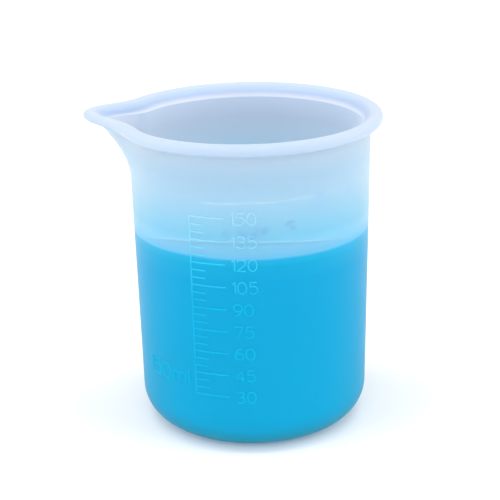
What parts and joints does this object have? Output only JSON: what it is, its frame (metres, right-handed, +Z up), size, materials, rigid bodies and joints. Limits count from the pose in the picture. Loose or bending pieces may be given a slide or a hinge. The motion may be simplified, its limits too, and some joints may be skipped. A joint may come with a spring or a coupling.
{
  "type": "resin mixing beaker",
  "caption": "Translucent silicone measuring beaker with a rolled lip, drawn pouring spout and raised millilitre scale, part filled with blue dyed resin.",
  "frame": {"origin": "middle of the beaker's flat underside", "axes": "+Z up out of the mouth; the spout points along -X; the raised scale faces -Y"},
  "size_m": [0.0766, 0.0694, 0.0836],
  "materials": {
    "silicone": "translucent, moulded satin",
    "resin": "dyed liquid, glossy surface"
  },
  "bodies": {
    "root": {"beaker": "silicone", "resin_fill": "resin"}
  },
  "joints": []
}
